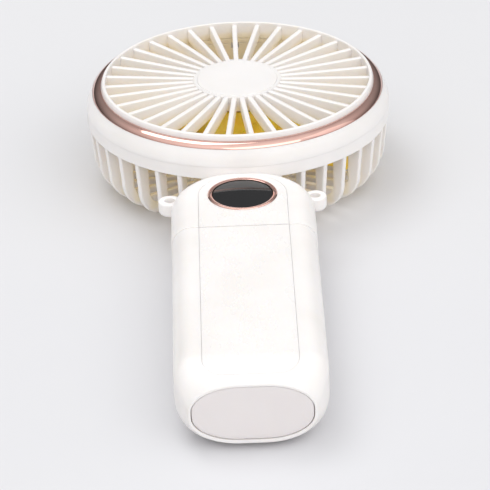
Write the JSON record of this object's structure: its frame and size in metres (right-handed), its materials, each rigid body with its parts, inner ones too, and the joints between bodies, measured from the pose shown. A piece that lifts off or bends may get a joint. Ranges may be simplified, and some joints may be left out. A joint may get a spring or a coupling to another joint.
{
  "type": "hand-held fan",
  "caption": "Rechargeable hand-held fan: a round caged head with a yellow impeller, a neck with one power button and lanyard eyes, and a handle that folds back.",
  "frame": {"origin": "on the fan's axis, in the plane of the head's back, on which the fan lies", "axes": "+Z out of the front grille, handle along -Y, +X to the right seen from the front"},
  "size_m": [0.09, 0.2035, 0.032],
  "materials": {
    "shell_white": "moulded warm white, soft gloss",
    "grille_white": "moulded warm white, soft gloss",
    "cap_white": "smooth warm white, blank",
    "cage_white": "moulded warm white, soft gloss",
    "panel_white": "smooth warm white",
    "plate_grey": "fine satin, pale warm grey",
    "base_white": "moulded, plain",
    "rose_gold": "plated rose gold, mirror-like",
    "lens_black": "polished black",
    "blade_yellow": "moulded yellow, slightly translucent",
    "screw_steel": "zinc plated",
    "pin_steel": "ground",
    "core_steel": "laminated or pressed steel",
    "magnet_dark": "bonded ferrite",
    "copper": "enamelled copper wire",
    "bronze": "sintered bronze",
    "board_green": "solder mask",
    "switch_black": "moulded",
    "led_clear": "clear potting",
    "cell_wrap": "shrink-wrapped can",
    "contact_metal": "nickel plated"
  },
  "bodies": {
    "head": {"front_grille": "grille_white", "grille_cap": "cap_white", "head_trim_ring": "rose_gold", "front_shell": "shell_white", "rear_cage": "cage_white", "motor_base": "base_white", "motor_screws": "screw_steel", "shaft_bushes": "bronze", "motor_board": "board_green", "stator_core": "core_steel", "stator_windings": "copper", "neck_shell": "shell_white", "neck_panel": "panel_white", "neck_screws": "screw_steel", "hinge_pin": "pin_steel", "button_bezel": "rose_gold", "control_board": "board_green", "board_screws": "screw_steel", "tact_switch": "switch_black", "indicator_leds": "led_clear"},
    "impeller": {"impeller": "blade_yellow", "rotor_cup": "core_steel", "magnet_ring": "magnet_dark", "motor_shaft": "pin_steel"},
    "button": {"power_button": "lens_black", "switch_plunger": "switch_black"},
    "handle": {"handle_shell": "shell_white", "handle_panel": "panel_white", "end_plate": "plate_grey", "battery_cell": "cell_wrap", "battery_contacts": "contact_metal", "charging_board": "board_green", "usb_socket": "contact_metal"}
  },
  "joints": [
    {"name": "impeller_spin", "type": "hinge", "parent": "head", "child": "impeller", "pos_m": [0, 0, 0.015], "axis": [0, 0, 1], "continuous": true},
    {"name": "button_press", "type": "slide", "parent": "head", "child": "button", "axis": [0, 0, -1], "range_m": [0, 0.0005], "stiffness_N_per_m": 2000},
    {"name": "handle_fold", "type": "hinge", "parent": "head", "child": "handle", "pos_m": [0, -0.078, 0.0035], "axis": [1, 0, 0], "range_deg": [0, 90]}
  ]
}
